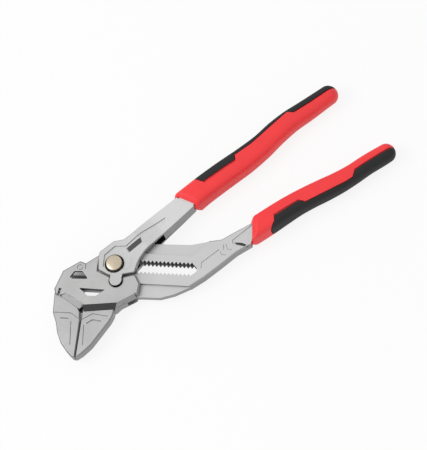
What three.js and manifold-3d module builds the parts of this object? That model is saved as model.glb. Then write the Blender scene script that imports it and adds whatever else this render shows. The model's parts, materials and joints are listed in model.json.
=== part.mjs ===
// Pliers wrench: a fixed handle with a toothed slot, a jaw that slides on its rail, and a lever
// handle whose bolt is set along the slot with a push button. Lengths are in millimetres.
// All is drawn round the joint bolt: u runs along the slot, v across it, z through the tool.
import * as THREE from 'three';
import { mergeVertices } from 'three/addons/utils/BufferGeometryUtils.js';
import Module from 'manifold-3d';

const wasm = await Module();
wasm.setup();

// Clearances
const runningGap = 0.3;
const seatGap = 0.3;
const boreGap = 0.08;
const overrun = 1;

// Slot and its teeth, measured from the joint bolt at its innermost place; the end is a share
// of the frame length
const slotHeight = 9.4;
const slotStart = 6.6;
const slotEndShare = 0.556;
const slotEndRound = 2.4;
const toothPitch = 2.7;
const toothDepth = 1.2;

// Fixed handle: the frame length runs from the jaw's outer side to the end of the slot plate
const frameLength = 100;
const plateThickness = 7.4;
const railThickness = 4.2;
const railBottom = 21;
const railTop = 11.8;
const plateChamfer = 0.7;

// Jaws
const jawLine = 18.5;
const jawRestGap = 0.6;
const jawLength = 66.2;
const fixedJawWidth = 20.4;
const movingJawWidth = 23.4;
const grooveWidth = 0.5;
const grooveDepth = 0.35;
const markWidth = 0.8;
const markDepth = 0.5;

// Moving jaw: the cheek length runs from its nose to its right end
const cheekLength = 50;
const cheekThickness = 12;
const cheekChamfer = 1;

// Lever: the shank length runs from its head to its grip
const shankLength = 50;
const headThickness = 15.2;
const forkThickness = 11.2;
const leverThickness = 9.4;
const leverAngle = 52;
const hubRadius = 6.6;
const forkDepth = 37;
const tongueRadius = 4.1;
const tongueDrop = 11.4;
const tongueShift = 2.4;
const tongueGap = 0.9;
const panelDepth = 0.7;
const leverChamfer = 0.6;

// Joint bolt, button and what holds them
const boltRadius = 4.5;
const boltFlangeRadius = 5.35;
const boltFlangeThickness = 0.6;
const boltToothGap = 0.35;
const boltToothDepth = 0.9;
const recessRadius = 6.65;
const recessDepth = 1.9;
const buttonRadius = 5.35;
const buttonRim = 0.8;
const buttonDome = 1;
const buttonTravel = 1.4;
const stemRadius = 1.2;
const springBoreRadius = 3.3;
const springRadius = 2.6;
const springWire = 0.6;
const springTurns = 3;
const ringThickness = 0.6;
const ringWidth = 2;
const ringGrooveDepth = 0.9;
const ringOpening = 3;
const clipThickness = 0.5;
const clipWidth = 1.3;
const stemGrooveDepth = 0.6;
const pinRadius = 1.65;

// Grips: each starts at a share of the shank's or frame's length and runs off at an angle
const upperGripPlaceShares = [0.838, 0.98];
const upperGripAngle = 43;
const upperGripLength = 126;
const upperGripWidth = 18.4;
const lowerGripPlaceShares = [0.901, 0.314];
const lowerGripAngle = 38;
const lowerGripLength = 108;
const lowerGripWidth = 17.2;
const gripThickness = 16.4;
const tangEndMargin = 16;
const tangFrontWidth = 10.2;
const tangEndWidth = 6;
const gripSides = 28;
const gripStations = 30;

// The tool is turned so that its long axis lies along X
const restingTurn = -46.5;

const steel = { color: 0xc4c4c2, metalness: 0.9, roughness: 0.35 };
const champagne = { color: 0xd8c8b0, metalness: 0.8, roughness: 0.3 };
const darkSteel = { color: 0x8a8a8a, metalness: 0.9, roughness: 0.45 };
const red = { color: 0xf03a3e, metalness: 0, roughness: 0.5 };
const black = { color: 0x35363a, metalness: 0, roughness: 0.7 };

const slotEnd = slotEndShare * frameLength;
const plateHalf = plateThickness / 2;
const railHalf = railThickness / 2;
const cheekHalf = cheekThickness / 2;
const headHalf = headThickness / 2;
const leverHalf = leverThickness / 2;
const slotHalf = slotHeight / 2;
const toothTip = slotHalf - toothDepth;
const fixedFace = -jawLine - jawRestGap / 2;
const movingFace = -jawLine + jawRestGap / 2;
const channelHalf = plateHalf + runningGap;
const through = headThickness;
const recessFloor = headHalf - recessDepth;

const radians = (degrees) => THREE.MathUtils.degToRad(degrees);

// A closed three.js geometry as a solid for joins and cuts
function solid(geometry) {
  const bare = geometry.clone();
  bare.deleteAttribute('normal');
  bare.deleteAttribute('uv');
  const merged = mergeVertices(bare, 1e-5);
  const mesh = new wasm.Mesh({
    numProp: 3,
    vertProperties: new Float32Array(merged.attributes.position.array),
    triVerts: new Uint32Array(merged.index.array),
  });
  return new wasm.Manifold(mesh);
}

// A solid given by its corners and triangles
function faceted(points, faces) {
  const geometry = new THREE.BufferGeometry();
  geometry.setAttribute('position', new THREE.Float32BufferAttribute(points, 3));
  geometry.setIndex(faces);
  return solid(geometry);
}

// A solid through rings of corners, closed at its first and last ring
function joined(rings) {
  const sides = rings[0].length;
  const last = (rings.length - 1) * sides;
  const faces = [];
  for (let i = 0; i < last; i += sides) {
    for (let k = 0; k < sides; k += 1) {
      const n = (k + 1) % sides;
      faces.push(i + k, i + sides + n, i + sides + k, i + k, i + n, i + sides + n);
    }
  }
  for (let k = 1; k < sides - 1; k += 1) faces.push(0, k + 1, k, last, last + k, last + k + 1);
  return faceted(rings.flat(2), faces);
}

// A finished solid as a named mesh
function piece(name, body, look) {
  const result = body.getMesh();
  const geometry = new THREE.BufferGeometry();
  geometry.setAttribute('position', new THREE.BufferAttribute(result.vertProperties, 3));
  geometry.setIndex(new THREE.BufferAttribute(result.triVerts, 1));
  geometry.computeVertexNormals();
  const mesh = new THREE.Mesh(geometry, new THREE.MeshStandardMaterial(look));
  mesh.name = name;
  return mesh;
}

// A flat outline raised from one height to another, with chamfered rims if asked
function prism(points, low, high, chamfer = 0) {
  const shape = new THREE.Shape(points.map(([x, y]) => new THREE.Vector2(x, y)));
  const geometry = new THREE.ExtrudeGeometry(shape, {
    depth: high - low - 2 * chamfer,
    bevelEnabled: chamfer > 0,
    bevelThickness: chamfer,
    bevelSize: chamfer,
    bevelOffset: -chamfer,
    bevelSegments: 1,
  });
  geometry.translate(0, 0, low + chamfer);
  return solid(geometry);
}

// The same cut on the front and on the back
function bothFaces(points, low, high) {
  return prism(points, low, high).add(prism(points, -high, -low));
}

// A round or ring-shaped solid turned about the bolt's line
function turned(profile, sides = 40) {
  const geometry = new THREE.LatheGeometry(profile.map(([r, z]) => new THREE.Vector2(r, z)), sides);
  geometry.rotateX(Math.PI / 2);
  return solid(geometry);
}

function disc(radius, low, high, u = 0, v = 0) {
  const geometry = new THREE.CylinderGeometry(radius, radius, high - low, 40);
  geometry.rotateX(Math.PI / 2);
  geometry.translate(u, v, (low + high) / 2);
  return solid(geometry);
}

// Points on an arc, both ends included
function arc(u, v, radius, from, to, steps) {
  return Array.from({ length: steps + 1 }, (_, i) => {
    const angle = radians(from + ((to - from) * i) / steps);
    return [u + radius * Math.cos(angle), v + radius * Math.sin(angle)];
  });
}

// An outline round the bolt, given as shares of one length
function outline(shares, length) {
  return shares.map(([a, b]) => [a * length, b * length]);
}

// A run of straight grooves along a path, on both faces of a plate of a given half-thickness
function grooves(path, width, depth, face = plateHalf) {
  const cuts = path.slice(1).map(([u1, v1], i) => {
    const [u0, v0] = path[i];
    const scale = width / 2 / Math.hypot(u1 - u0, v1 - v0);
    const [nu, nv] = [(v0 - v1) * scale, (u1 - u0) * scale];
    const strip = [[u0 + nu, v0 + nv], [u0 - nu, v0 - nv], [u1 - nu, v1 - nv], [u1 + nu, v1 + nv]];
    return bothFaces(strip, face - depth, face + overrun);
  });
  return cuts.reduce((all, cut) => all.add(cut));
}

// Grip frame: x runs from the grip's front to its end, y towards its outer side
function gripFrame([u, v], angle, outer) {
  const c = Math.cos(radians(angle));
  const s = Math.sin(radians(angle));
  return ([x, y]) => [u + x * c - outer * y * s, v + x * s + outer * y * c];
}

// Each row: place along the grip, centre, half-width and half-thickness, all as shares, and how
// square the section is
const upperGrip = {
  at: gripFrame(upperGripPlaceShares.map((share) => share * shankLength), upperGripAngle, 1),
  outer: 1,
  length: upperGripLength,
  width: upperGripWidth,
  tangHalf: leverHalf,
  tangShare: -0.03,
  slantShare: 0.5,
  noseShare: 0.12,
  rowShares: [
    [-0.1, -0.024, 0.476, 0.5, 4],
    [0, -0.018, 0.476, 0.5, 4],
    [0.12, 0.01, 0.473, 0.5, 4],
    [0.25, 0.003, 0.474, 0.49, 3.8],
    [0.4, -0.019, 0.46, 0.47, 3.5],
    [0.5, 0.013, 0.439, 0.45, 3.2],
    [0.6, 0.106, 0.424, 0.44, 3.1],
    [0.7, 0.145, 0.4, 0.43, 3],
    [0.8, 0.108, 0.385, 0.42, 2.8],
    [0.9, 0.083, 0.361, 0.42, 2.6],
    [1, 0.06, 0.34, 0.4, 2.6],
  ],
  inlayShares: [
    [0.09, 1],
    [0.107, 0.36],
    [0.136, 0.04],
    [0.334, -0.01],
    [0.352, 0.23],
    [0.453, 0.205],
    [0.712, 0.39],
    [0.742, 0.19],
    [0.85, 0.12],
    [0.96, 0.085],
    [1.1, 0.085],
    [1.1, 1],
  ],
};
const lowerGrip = {
  at: gripFrame(lowerGripPlaceShares.map((share) => share * frameLength), lowerGripAngle, -1),
  outer: -1,
  length: lowerGripLength,
  width: lowerGripWidth,
  tangHalf: plateHalf,
  tangShare: 0.083,
  slantShare: 0.6,
  noseShare: 0.16,
  rowShares: [
    [-0.13, 0.017, 0.444, 0.5, 4],
    [0.08, 0.018, 0.444, 0.5, 4],
    [0.2, 0.001, 0.443, 0.48, 3.6],
    [0.3, 0.004, 0.432, 0.46, 3.3],
    [0.4, 0.052, 0.432, 0.44, 3.1],
    [0.5, 0.127, 0.427, 0.43, 3.1],
    [0.6, 0.191, 0.403, 0.43, 2.9],
    [0.7, 0.21, 0.378, 0.42, 2.8],
    [0.8, 0.187, 0.373, 0.42, 2.6],
    [0.9, 0.203, 0.37, 0.41, 2.6],
    [1, 0.217, 0.34, 0.4, 2.6],
  ],
  inlayShares: [
    [0.06, 1],
    [0.085, 0.47],
    [0.13, 0.29],
    [0.152, 0.05],
    [0.326, 0.065],
    [0.356, 0.28],
    [0.522, 0.385],
    [0.627, 0.45],
    [0.683, 0.45],
    [0.722, 0.22],
    [0.907, 0.205],
    [0.96, 0.22],
    [1.1, 0.22],
    [1.1, 1],
  ],
};

// Centre, half-width, half-thickness and squareness of a grip at a share of its length
function gripRow(grip, share) {
  const rows = grip.rowShares;
  const next = rows.findIndex((row) => row[0] > share);
  const i = next < 0 ? rows.length - 1 : Math.max(next, 1);
  const [before, after] = [rows[i - 1], rows[i]];
  const t = THREE.MathUtils.inverseLerp(before[0], after[0], share);
  const mix = (k) => THREE.MathUtils.lerp(before[k], after[k], t);
  return {
    centre: mix(1) * grip.width,
    half: mix(2) * grip.width,
    thick: mix(3) * gripThickness,
    bend: 2 / mix(4),
  };
}

// The grip's whole outer form: rounded rings along it, drawn in to a round end
function gripForm(grip) {
  const front = grip.rowShares[0][0];
  const points = [];
  for (let i = 0; i <= gripStations; i += 1) {
    const share = front + (1 - front) * Math.sin((i / gripStations) * (Math.PI / 2));
    const row = gripRow(grip, share);
    const x = share * grip.length;
    const tip = Math.max(0, (x - grip.length + row.half) / row.half);
    const draw = Math.sqrt(Math.max(0, 1 - tip * tip));
    for (let k = 0; k < gripSides; k += 1) {
      const angle = (2 * Math.PI * k) / gripSides;
      const c = Math.cos(angle);
      const s = Math.sin(angle);
      const y = row.centre + row.half * draw * Math.sign(c) * Math.abs(c) ** row.bend;
      const z = row.thick * draw * Math.sign(s) * Math.abs(s) ** row.bend;
      points.push(...grip.at([x, y]), z);
    }
  }
  const ring = (i, k) => i * gripSides + (k % gripSides);
  const faces = [];
  const add = (a, b, c) => faces.push(...(grip.outer > 0 ? [a, c, b] : [a, b, c]));
  for (let i = 0; i < gripStations - 1; i += 1) {
    for (let k = 0; k < gripSides; k += 1) {
      add(ring(i, k), ring(i + 1, k), ring(i + 1, k + 1));
      add(ring(i, k), ring(i + 1, k + 1), ring(i, k + 1));
    }
  }
  const last = gripStations - 1;
  for (let k = 0; k < gripSides; k += 1) add(ring(last, k), ring(last + 1, 0), ring(last, k + 1));
  for (let k = 1; k < gripSides - 1; k += 1) add(ring(0, 0), ring(0, k), ring(0, k + 1));
  return faceted(points, faces);
}

// All that lies behind the grip's slanted front, or a gap before it; the front stands out as a
// blunt wedge along the middle of the grip's thickness
function behindFront(grip, gap) {
  const reach = grip.width;
  const slant = grip.slantShare * reach;
  const nose = grip.noseShare * reach;
  const far = 2 * grip.length;
  const ring = (z, ahead) => {
    const front = -gap - ahead;
    const line = [[slant + front, -reach], [far, -reach], [far, reach], [front - slant, reach]];
    const points = line.map((point) => [...grip.at(point), z]);
    return grip.outer > 0 ? points : points.reverse();
  };
  return joined([ring(-gripThickness, -nose), ring(0, nose), ring(gripThickness, -nose)]);
}

// The flat steel tang inside a grip, grown by a clearance where it cuts the grip
function tang(grip, grow) {
  const reach = grip.length - tangEndMargin;
  const steps = 8;
  const side = (sign) => Array.from({ length: steps + 1 }, (_, i) => {
    const share = i / steps;
    const row = gripRow(grip, (share * reach) / grip.length);
    const width = THREE.MathUtils.lerp(tangFrontWidth, tangEndWidth, share);
    const shift = grip.tangShare * grip.width * (1 - share);
    const end = i === steps ? grow : 0;
    return [share * reach + end, row.centre + shift + sign * (width / 2 + grow)];
  });
  const upper = side(1);
  const lower = side(-1).reverse();
  const front = -grip.width;
  const points = [[front, upper[0][1]], ...upper, ...lower, [front, lower[steps][1]]];
  return prism(points.map(grip.at), -grip.tangHalf - grow, grip.tangHalf + grow);
}

// An outline run counter-clockwise, drawn in by a gap along every side
function inset(points, gap) {
  return points.map(([x, y], i) => {
    const [px, py] = points.at(i - 1);
    const [nx, ny] = points[(i + 1) % points.length];
    const before = new THREE.Vector2(x - px, y - py).normalize();
    const after = new THREE.Vector2(nx - x, ny - y).normalize();
    const reach = gap / (1 + before.dot(after));
    return [x - (before.y + after.y) * reach, y + (before.x + after.x) * reach];
  });
}

// The outer side of the grip where the soft inlay lies, drawn in by a gap for the inlay itself
function inlayZone(grip, gap) {
  const points = grip.inlayShares.map(([x, y]) => [x * grip.length, y * grip.width]);
  return prism(inset(points, gap).map(grip.at), -gripThickness, gripThickness);
}

function gripPieces(grip, prefix) {
  const sleeve = gripForm(grip).intersect(behindFront(grip, 0)).subtract(tang(grip, seatGap));
  return [
    piece(`${prefix}_grip_sleeve`, sleeve.subtract(inlayZone(grip, 0)), red),
    piece(`${prefix}_grip_inlay`, sleeve.intersect(inlayZone(grip, seatGap)), black),
  ];
}

// One tooth: shares of the pitch along it and of its height
const flankShares = [[0.12, 0], [0.38, 1], [0.62, 1], [0.88, 0]];

// The toothed slot as an outline: straight-flanked teeth along both long sides
function slotOutline() {
  const end = slotEnd - slotEndRound;
  const count = Math.floor((end + slotStart) / toothPitch) - 1;
  const first = end - count * toothPitch;
  const row = (sign) => {
    const points = [];
    for (let i = 0; i < count; i += 1) {
      for (const [a, b] of flankShares) {
        points.push([first + (i + a) * toothPitch, sign * (toothTip + b * toothDepth)]);
      }
    }
    return points;
  };
  const corner = slotEndRound / 2;
  return [
    [-slotStart, -toothTip],
    ...row(-1),
    [end, -toothTip],
    [slotEnd, -corner],
    [slotEnd, corner],
    [end, toothTip],
    ...row(1).reverse(),
    [-slotStart, toothTip],
  ];
}

// Places on the jaws: shares of the jaw's width from its face, and of its length from the bolt
const fixedJawPoint = ([a, b]) => [fixedFace - a * fixedJawWidth, -b * jawLength];
const movingJawPoint = ([a, b]) => [movingFace + a * movingJawWidth, -b * jawLength];

const frameShares = [
  [0.01, -0.178], [0.03, -0.21], [0.18, -0.21], [0.33, -0.207], [0.423, -0.176], [0.516, -0.125],
  [0.612, -0.05], [0.709, 0.042], [0.804, 0.137], [0.93, 0.228], [0.88, 0.352], [0.768, 0.277],
  [0.695, 0.226], [0.605, 0.208], [0.49, 0.179], [0.3, 0.174], [0.03, 0.168], [-0.04, 0.135],
  [-0.125, 0.036], [-0.125, -0.123],
];
const railEndShares = [-0.123, -0.178];
const fixedJawShares = [
  [0, 0.599], [0, 1], [0.09, 0.995], [0.21, 0.965], [0.37, 0.917], [0.535, 0.855], [0.7, 0.751],
  [0.8, 0.64], [0.955, 0.532], [1, 0.3], [0.82, 0.186], [0, 0.186], [0.07, 0.31], [0.12, 0.47],
  [0.045, 0.511], [0.02, 0.579],
];
const recessEndShare = 0.545;
const upperRecessShares = [[-0.2, 0.097], [0.515, 0.097], [0.64, 0.24], [-0.2, 0.24]];
const neckPocketShares = [
  [0.89, 0.345], [0.768, 0.223], [0.775, 0.197], [0.8, 0.188], [0.85, 0.18], [0.91, 0.215],
];
const neckDimpleShares = [[0.783, 0.209], [0.8, 0.195], [0.856, 0.186], [0.868, 0.199], [0.835, 0.21]];
const neckMarkShares = [
  [[0.584, 0.013], [0.582, 0.052], [0.688, 0.152]],
  [[0.699, 0.138], [0.711, 0.116], [0.739, 0.116]],
  [[0.732, 0.191], [0.744, 0.159], [0.775, 0.155]],
  [[0.714, 0.19], [0.72, 0.152]],
];
const fixedBorderShares = [[0.9, 0.532], [0.32, 0.532], [0.03, 0.589]];
const fixedPanelShares = [[0.29, 0.62], [0.21, 0.868]];
const fixedMarkShares = [[0.66, 0.591], [0.4, 0.591]];

// Fixed handle: jaw, rail, slot plate, neck and tang in one forging
function fixedHandle() {
  const railEnd = railEndShares.map((share) => [fixedFace - overrun, share * frameLength]);
  const frameOutline = [...outline(frameShares, frameLength), ...railEnd];
  const frame = prism(frameOutline, -plateHalf, plateHalf, plateChamfer);
  const jaw = prism(fixedJawShares.map(fixedJawPoint), -plateHalf, plateHalf, plateChamfer);
  const upper = bothFaces(outline(upperRecessShares, frameLength), railHalf, plateHalf + overrun);
  const shoulder = -railBottom - runningGap;
  const lower = bothFaces([
    [-frameLength, -railTop],
    [-frameLength, shoulder],
    [fixedFace, shoulder],
    [fixedFace, -frameLength],
    [frameLength, -frameLength],
    [recessEndShare * frameLength, -railTop],
  ], railHalf, plateHalf + overrun);
  const pocket = outline(neckPocketShares, frameLength);
  const dimple = outline(neckDimpleShares, frameLength);
  const marks = neckMarkShares.map((path) => (
    grooves(outline(path, frameLength), grooveWidth, grooveDepth)
  ));
  const body = frame.add(jaw)
    .subtract(lower)
    .subtract(upper)
    .subtract(behindFront(lowerGrip, seatGap))
    .add(tang(lowerGrip, 0))
    .subtract(prism(slotOutline(), -through, through))
    .subtract(bothFaces(pocket, plateHalf - markDepth, plateHalf + overrun))
    .subtract(bothFaces(dimple, plateHalf - 2 * markDepth, plateHalf + overrun))
    .subtract(grooves(fixedBorderShares.map(fixedJawPoint), grooveWidth, grooveDepth))
    .subtract(grooves(fixedPanelShares.map(fixedJawPoint), grooveWidth, grooveDepth))
    .subtract(grooves(fixedMarkShares.map(fixedJawPoint), markWidth, markDepth))
    .subtract(marks.reduce((all, mark) => all.add(mark)));
  return piece('fixed_handle', body, steel);
}

const cheekShares = [
  [-0.784, -0.388], [-0.7, -0.125], [-0.484, 0.026], [-0.402, 0], [-0.254, 0.114], [-0.16, 0.19],
  [0.3, 0.02], [0.3, -0.13], [0.378, -0.25], [0.37, -0.4], [0.32, -0.406], [0.104, -0.541],
  [-0.344, -0.597], [-0.402, -0.648], [-0.66, -0.488], [-0.705, -0.478], [-0.755, -0.461],
];
const endSlitShares = [[-0.716, -0.376], [-0.732, -0.51], [-0.694, -0.51], [-0.678, -0.376]];
const openingLeftShares = [[-0.236, 0.5], [-0.236, -0.11], [-0.054, -0.19]];
const openingRightShares = [[0.142, -0.182], [0.304, -0.138], [0.5, -0.07], [0.5, 0.5]];
const windowShares = [
  [-0.538, -0.126], [-0.428, -0.12], [-0.346, -0.212], [-0.358, -0.228], [-0.564, -0.234],
  [-0.59, -0.212],
];
const frontSlitShares = [[-0.44, -0.36], [-0.084, -0.366], [-0.2, -0.462], [-0.312, -0.466]];
const backSlitShares = [
  [-0.44, -0.324], [-0.084, -0.324], [-0.084, -0.392], [-0.2, -0.488], [-0.312, -0.492],
  [-0.44, -0.388],
];
const hollowShares = [[0.216, -0.426], [0.45, -0.426], [0.45, -0.64], [0.236, -0.58]];
const pinShares = [-0.47, -0.066];
const movingJawShares = [
  [0, 1], [0, 0.486], [0.05, 0.455], [0.05, 0.322], [1.3, 0.322], [1.3, 0.366], [1.1, 0.424],
  [0.92, 0.479], [0.9, 0.533], [0.835, 0.594], [0.405, 0.856], [0.282, 0.908], [0.16, 0.956],
];
const cheekMarkShares = [[-0.394, -0.012], [-0.394, -0.086]];
const movingBorderShares = [[0.03, 0.594], [0.32, 0.527], [0.77, 0.545]];
const movingPanelShares = [[0.11, 0.651], [0.16, 0.868]];
const movingMarkShares = [[0.18, 0.635], [0.34, 0.592], [0.59, 0.602]];

// Slopes from the cheeks down to the jaw: a step in front, a steeper bevel at the right end.
// Each row: the slope's top, and its foot
const stepShares = [[-0.344, -0.593, -0.344, -0.69], [0.102, -0.537, 0.082, -0.634]];
const bevelShares = [[0.128, -0.521, 0.144, -0.564], [0.32, -0.4, 0.344, -0.438]];

function slopes() {
  const low = plateHalf - seatGap;
  const station = (shares, frontFoot) => {
    const [u, top, footU, foot] = shares.map((share) => share * cheekLength);
    const inside = top + cheekThickness / 4;
    return [
      [u, top, cheekHalf], [footU, foot, frontFoot], [footU, foot, -low],
      [u, top, -cheekHalf], [u, inside, -cheekHalf], [u, inside, cheekHalf],
    ];
  };
  return joined([
    ...stepShares.map((shares) => station(shares, low)),
    ...bevelShares.map((shares) => station(shares, railHalf)),
  ]);
}

// The wide bevel along the cheeks' lower left edges, on both faces: its inner and outer edge
const cheekBevelShares = [[-0.6, -0.436, -0.69, -0.476], [-0.36, -0.562, -0.41, -0.668]];

function cheekBevel() {
  const above = cheekHalf + overrun;
  const front = joined(cheekBevelShares.map((shares) => {
    const [u, v, outerU, outerV] = shares.map((share) => share * cheekLength);
    return [
      [u, v, above], [outerU, outerV, above],
      [outerU, outerV, channelHalf + seatGap], [u, v, cheekHalf],
    ];
  }));
  return front.add(front.mirror([0, 0, 1]));
}

// Moving jaw: two cheeks that ride on the rail, joined below it by the jaw itself
function movingJaw() {
  const far = 2 * cheekLength;
  const band = (low, high, half, right = far) => prism(
    [[-far, low], [right, low], [right, high], [-far, high]],
    -half,
    half,
  );
  const cheeks = prism(outline(cheekShares, cheekLength), -cheekHalf, cheekHalf, cheekChamfer);
  const jaw = prism(movingJawShares.map(movingJawPoint), -plateHalf, plateHalf, plateChamfer);
  const opening = [
    ...outline(openingLeftShares, cheekLength),
    ...arc(tongueShift, -tongueDrop, tongueRadius + tongueGap, 165, 375, 14),
    ...outline(openingRightShares, cheekLength),
  ];
  const [pinU, pinV] = pinShares.map((share) => share * cheekLength);
  const body = cheeks.add(jaw).add(slopes())
    .subtract(cheekBevel())
    .subtract(band(-railTop - runningGap, far, channelHalf))
    .subtract(band(-railBottom - runningGap, -railTop, railHalf + runningGap))
    .subtract(band(-far, -railBottom, channelHalf, movingFace))
    .subtract(prism(outline(hollowShares, cheekLength), seatGap - plateHalf, railHalf))
    .subtract(bothFaces(outline(endSlitShares, cheekLength), channelHalf, through))
    .subtract(prism(opening, -through, through))
    .subtract(prism(outline(windowShares, cheekLength), 0, through))
    .subtract(prism(outline(frontSlitShares, cheekLength), -plateHalf, through))
    .subtract(prism(outline(backSlitShares, cheekLength), -through, -railHalf))
    .subtract(disc(pinRadius + seatGap, 0, through, pinU, pinV))
    .subtract(grooves(outline(cheekMarkShares, cheekLength), grooveWidth, grooveDepth, cheekHalf))
    .subtract(grooves(movingBorderShares.map(movingJawPoint), grooveWidth, grooveDepth))
    .subtract(grooves(movingPanelShares.map(movingJawPoint), grooveWidth, grooveDepth))
    .subtract(grooves(movingMarkShares.map(movingJawPoint), markWidth, markDepth));
  const pin = disc(pinRadius, channelHalf + seatGap, cheekHalf, pinU, pinV);
  return [piece('moving_jaw', body, steel), piece('cheek_pin', pin, steel)];
}

const leverShares = [
  [-0.236, 0.088], [-0.21, -0.098], [-0.056, -0.168], [0, -0.172], [0.14, -0.145], [0.286, -0.11],
  [0.296, -0.092], [0.31, 0.01], [0.336, 0.096], [0.388, 0.2], [0.538, 0.406], [0.776, 0.686],
  [0.97, 0.92], [0.72, 1.03], [0.664, 0.97], [0.384, 0.686], [0.172, 0.444], [0.076, 0.352],
  [-0.054, 0.32], [-0.224, 0.162],
];
const innerShares = [
  [-0.034, -0.11], [-0.024, -0.228], [0.12, -0.228], [0.116, -0.176], [0.132, -0.138],
  [0.286, -0.11], [0.31, 0.01], [0.388, 0.2], [0.54, 0.406], [1.2, 1.2], [0.2, 1.2],
  [0.172, 0.444], [0.05, 0.31], [-0.104, 0.08],
];
const neckShares = [[-0.024, -0.228], [0.12, -0.228], [0.132, -0.138], [-0.034, -0.138]];
const panelShares = [
  [-0.154, 0.116], [-0.026, 0.252], [0.12, 0.26], [0.29, 0.458], [0.587, 0.71], [0.631, 0.697],
  [0.23, 0.114], [0.234, 0.002], [0.19, -0.08], [-0.15, -0.05],
];
const namePlateShares = [[0.129, 0.224], [0.175, 0.17], [0.336, 0.336], [0.303, 0.405]];
const backTrimShares = [
  [0.248, -0.14], [0.44, -0.14], [0.44, 0.2], [0.388, 0.2], [0.256, 0.01],
];
const taperShares = [-1, 0.48, 0.76, 1.3];

// The lever's thickness seen from its side, drawn along its shank and lowered by a depth
function leverTaper(depth) {
  const half = [headHalf, headHalf, forkThickness / 2, leverHalf].map((height) => height - depth);
  const top = taperShares.map((share, i) => [share * shankLength, half[i]]);
  const bottom = top.map(([x, z]) => [x, -z]).reverse();
  const shape = new THREE.Shape([...top, ...bottom].map(([x, z]) => new THREE.Vector2(x, z)));
  const geometry = new THREE.ExtrudeGeometry(shape, { depth: 2 * shankLength, bevelEnabled: false });
  geometry.translate(0, 0, -shankLength);
  geometry.rotateX(Math.PI / 2);
  geometry.rotateZ(radians(leverAngle));
  return solid(geometry);
}

// A block across the lever between two places along its shank
function acrossLever(from, to, half) {
  const reach = shankLength;
  const corners = [[from, -reach], [to, -reach], [to, reach], [from, reach]];
  return prism(corners.map(gripFrame([0, 0], leverAngle, 1)), -half, half);
}

// Lever: forked head with a tongue, shank and tang
function lever() {
  const flat = prism(outline(leverShares, shankLength), -headHalf, headHalf, leverChamfer);
  const tongue = disc(tongueRadius, -headHalf, headHalf, tongueShift, -tongueDrop);
  const neck = prism(outline(neckShares, shankLength), -headHalf, headHalf);
  const inner = prism(outline(innerShares, shankLength), -through, through);
  const kept = inner.add(disc(hubRadius, -through, through)).add(tongue);
  const overCheeks = acrossLever(-shankLength, forkDepth, cheekHalf + runningGap);
  const panel = prism(outline(panelShares, shankLength), -through, through);
  const namePlate = prism(outline(namePlateShares, shankLength), 0, through);
  const backTrim = prism(outline(backTrimShares, shankLength), -through, -channelHalf);
  const recess = disc(recessRadius, recessFloor, through);
  const body = flat.add(tongue).add(neck)
    .intersect(leverTaper(0))
    .subtract(panel.subtract(leverTaper(panelDepth)))
    .subtract(namePlate.subtract(leverTaper(panelDepth + markDepth)))
    .subtract(overCheeks.subtract(kept))
    .subtract(acrossLever(-shankLength, forkDepth, channelHalf))
    .subtract(backTrim)
    .subtract(recess)
    .subtract(disc(recessRadius, -through, -recessFloor))
    .subtract(disc(boltRadius + boreGap, -through, through))
    .subtract(behindFront(upperGrip, seatGap))
    .add(tang(upperGrip, 0));
  return piece('lever_handle', body, steel);
}

// A flat ring round the bolt's line, with an opening on one side if asked
function flatRing(inner, width, top, thickness, opening = 0) {
  const ring = turned([
    [inner, top - thickness],
    [inner + width, top - thickness],
    [inner + width, top],
    [inner, top],
    [inner, top - thickness],
  ]);
  if (!opening) return ring;
  const half = opening / 2;
  const reach = 2 * (inner + width);
  return ring.subtract(prism([[-half, 0], [half, 0], [half, reach], [-half, reach]], -through, through));
}

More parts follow.
